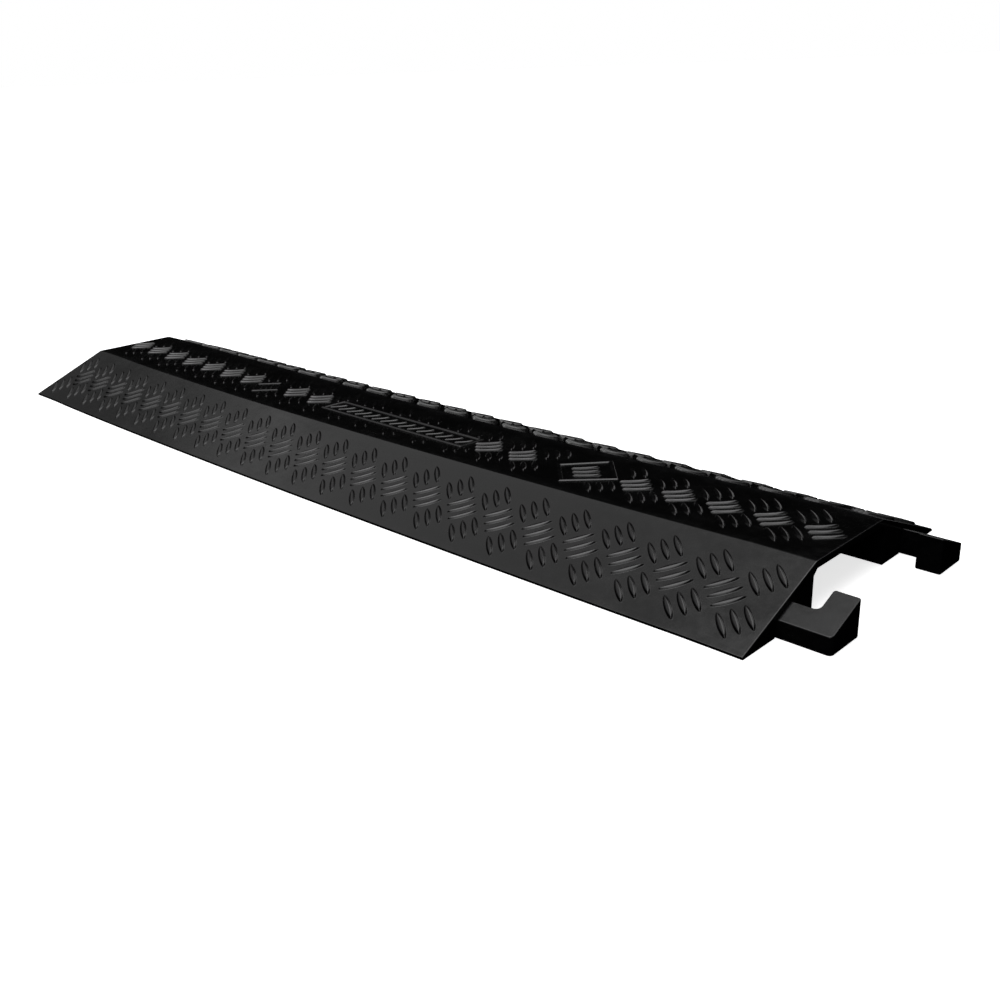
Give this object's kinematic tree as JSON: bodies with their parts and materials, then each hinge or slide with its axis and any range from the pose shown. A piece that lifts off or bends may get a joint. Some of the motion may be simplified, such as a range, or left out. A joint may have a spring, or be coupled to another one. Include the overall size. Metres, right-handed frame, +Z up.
{
  "type": "cable protector ramp",
  "caption": "Low drop-over cable ramp with sloped treaded sides, a flat deck, an open-bottom cable channel and hooked connector keys at one end.",
  "frame": {"origin": "centre of the whole footprint, ramp and keys together, at the floor", "axes": "+X along the ramp towards the end that carries the connector keys, +Y across the ramp to its rear side, +Z up"},
  "size_m": [1.0394, 0.272, 0.038],
  "materials": {
    "moulded_rubber": "satin black moulded rubber with a fine grain",
    "connector_rubber": "satin black moulded rubber"
  },
  "bodies": {
    "root": {"ramp_body": "moulded_rubber", "front_connector": "connector_rubber", "rear_connector": "connector_rubber"}
  },
  "joints": []
}
